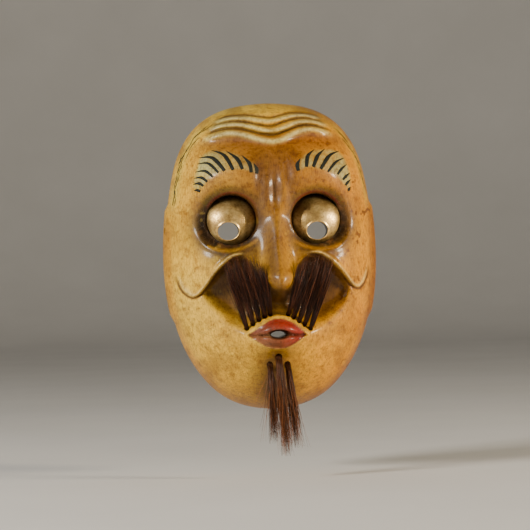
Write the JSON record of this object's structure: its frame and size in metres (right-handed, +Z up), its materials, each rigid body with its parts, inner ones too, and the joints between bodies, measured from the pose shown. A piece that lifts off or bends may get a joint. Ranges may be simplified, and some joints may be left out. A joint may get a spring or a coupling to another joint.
{
  "type": "noh mask",
  "caption": "Carved and painted wooden theatre mask with round gilt goggle eyes, pursed red lips, rolled forehead, a pegged horsehair moustache combed upward and a goatee.",
  "frame": {"origin": "centre of the rear opening, on the plane of the rear rim, at mid height of the mask", "axes": "+Z up to the crown, -Y out of the face, +X to the viewer's right"},
  "size_m": [0.1404, 0.0775, 0.2298],
  "materials": {
    "painted_cypress": "gesso ground with ochre paint, burnished, over carved cypress; dark lacquer inside",
    "gilt_copper": "aged gilt metal sheet",
    "dark_hair": "stiff horsehair",
    "auburn_hair": "stiff reddish horsehair",
    "peg_wood": "raw wooden plug"
  },
  "bodies": {
    "root": {"mask_shell": "painted_cypress", "eye_plate_left": "gilt_copper", "eye_plate_right": "gilt_copper", "moustache_tuft_left_1": "dark_hair", "moustache_peg_left_1": "peg_wood", "moustache_tuft_left_2": "dark_hair", "moustache_peg_left_2": "peg_wood", "moustache_tuft_left_3": "dark_hair", "moustache_peg_left_3": "peg_wood", "moustache_tuft_left_4": "dark_hair", "moustache_peg_left_4": "peg_wood", "moustache_tuft_left_5": "dark_hair", "moustache_peg_left_5": "peg_wood", "moustache_tuft_right_1": "dark_hair", "moustache_peg_right_1": "peg_wood", "moustache_tuft_right_2": "dark_hair", "moustache_peg_right_2": "peg_wood", "moustache_tuft_right_3": "dark_hair", "moustache_peg_right_3": "peg_wood", "moustache_tuft_right_4": "dark_hair", "moustache_peg_right_4": "peg_wood", "moustache_tuft_right_5": "dark_hair", "moustache_peg_right_5": "peg_wood", "goatee_tuft_left": "auburn_hair", "goatee_peg_left": "peg_wood", "goatee_tuft_centre": "auburn_hair", "goatee_peg_centre": "peg_wood", "goatee_tuft_right": "auburn_hair", "goatee_peg_right": "peg_wood"}
  },
  "joints": []
}
